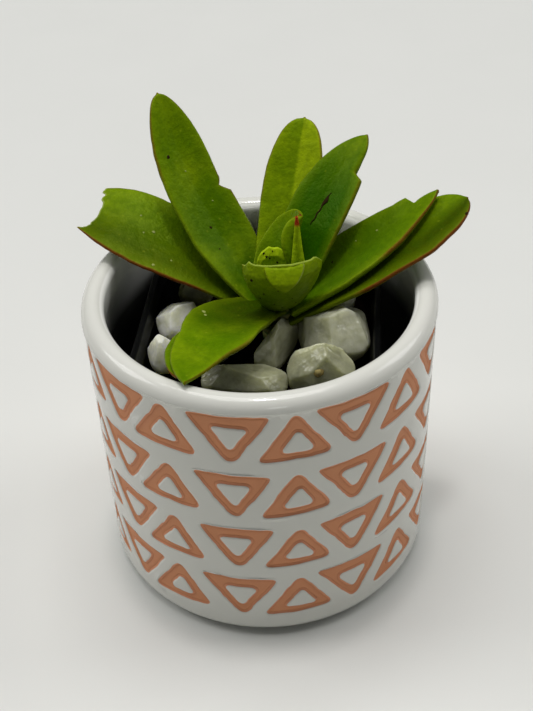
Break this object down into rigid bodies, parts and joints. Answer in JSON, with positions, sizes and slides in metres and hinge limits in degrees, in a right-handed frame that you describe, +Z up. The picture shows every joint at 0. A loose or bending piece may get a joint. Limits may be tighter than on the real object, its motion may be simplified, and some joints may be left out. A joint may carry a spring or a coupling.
{
  "type": "potted succulent",
  "caption": "Succulent rosette of thick tongue-shaped leaves in a loose nursery pot, topped with white pebbles, inside a straight glazed pot with a triangle relief.",
  "frame": {"origin": "on the pot's axis, at the flat underside that it stands on", "axes": "+Z up along the pot's axis, -Y towards the front, where the small folded leaf is, +X to its right"},
  "size_m": [0.0953, 0.085, 0.1121],
  "materials": {
    "glaze": "glossy white glaze with bare terracotta-coloured recesses",
    "nursery_plastic": "moulded black polypropylene, satin",
    "soil": "dark crumbly potting mix",
    "stem": "pale green fleshy stem",
    "leaf": "waxy glossy green leaf with a thin red-brown margin",
    "quartz": "broken milky quartz, slightly see-through"
  },
  "bodies": {
    "root": {"ceramic_pot": "glaze", "nursery_pot": "nursery_plastic", "potting_soil": "soil", "stem": "stem", "leaf_front_torn": "leaf", "leaf_heart_spear": "leaf", "leaf_heart_hood": "leaf", "leaf_heart_stub": "leaf", "leaf_back_left_tall": "leaf", "leaf_right_upper": "leaf", "leaf_back_right": "leaf", "leaf_back": "leaf", "leaf_left_broken": "leaf", "leaf_right_lower": "leaf", "leaf_front_left": "leaf", "leaf_front_left_old": "leaf", "pebble_01": "quartz", "pebble_02": "quartz", "pebble_03": "quartz", "pebble_04": "quartz", "pebble_05": "quartz", "pebble_06": "quartz", "pebble_07": "quartz", "pebble_08": "quartz", "pebble_09": "quartz", "pebble_10": "quartz", "pebble_11": "quartz"}
  },
  "joints": []
}
